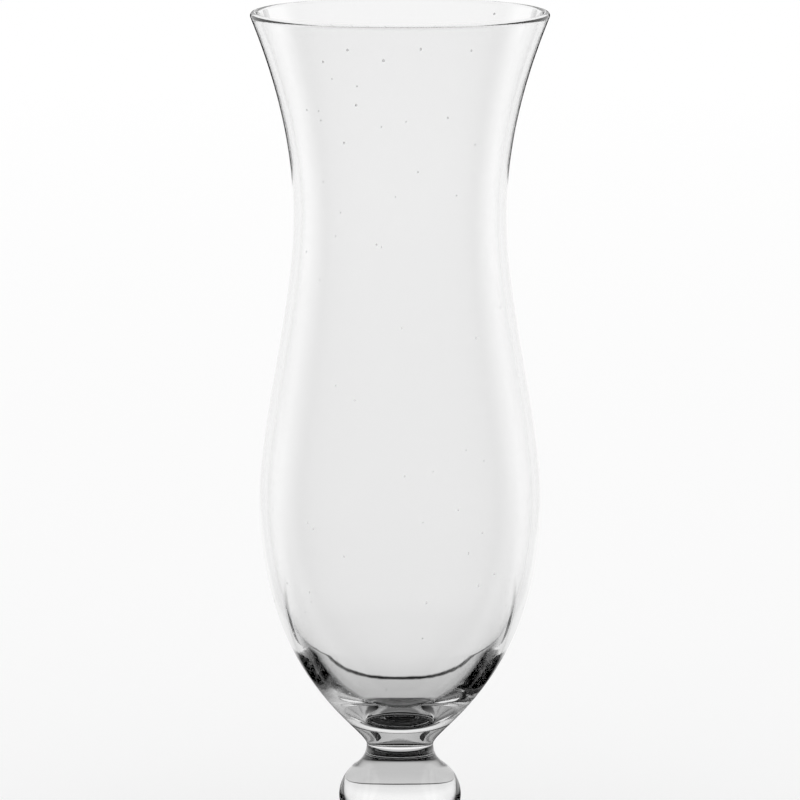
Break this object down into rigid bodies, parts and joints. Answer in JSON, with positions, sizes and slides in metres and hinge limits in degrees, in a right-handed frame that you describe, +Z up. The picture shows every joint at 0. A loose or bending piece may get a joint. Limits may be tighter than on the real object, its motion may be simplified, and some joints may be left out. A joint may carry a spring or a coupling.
{
  "type": "hurricane glass",
  "caption": "Clear stemmed cocktail glass with a tall waisted bowl that flares to a round lip, a short stem with a ball knop and a round foot.",
  "frame": {"origin": "centre of the flat ring under the foot, on the table that the glass stands on", "axes": "+Z up along the glass's axis, towards the rim; the glass is round, so X and Y are free"},
  "size_m": [0.079, 0.079, 0.235],
  "materials": {
    "clear_glass": "clear colourless blown glass, fire-polished, with faint streaks and seeds"
  },
  "bodies": {
    "root": {"bowl": "clear_glass", "stem": "clear_glass", "foot": "clear_glass"}
  },
  "joints": []
}
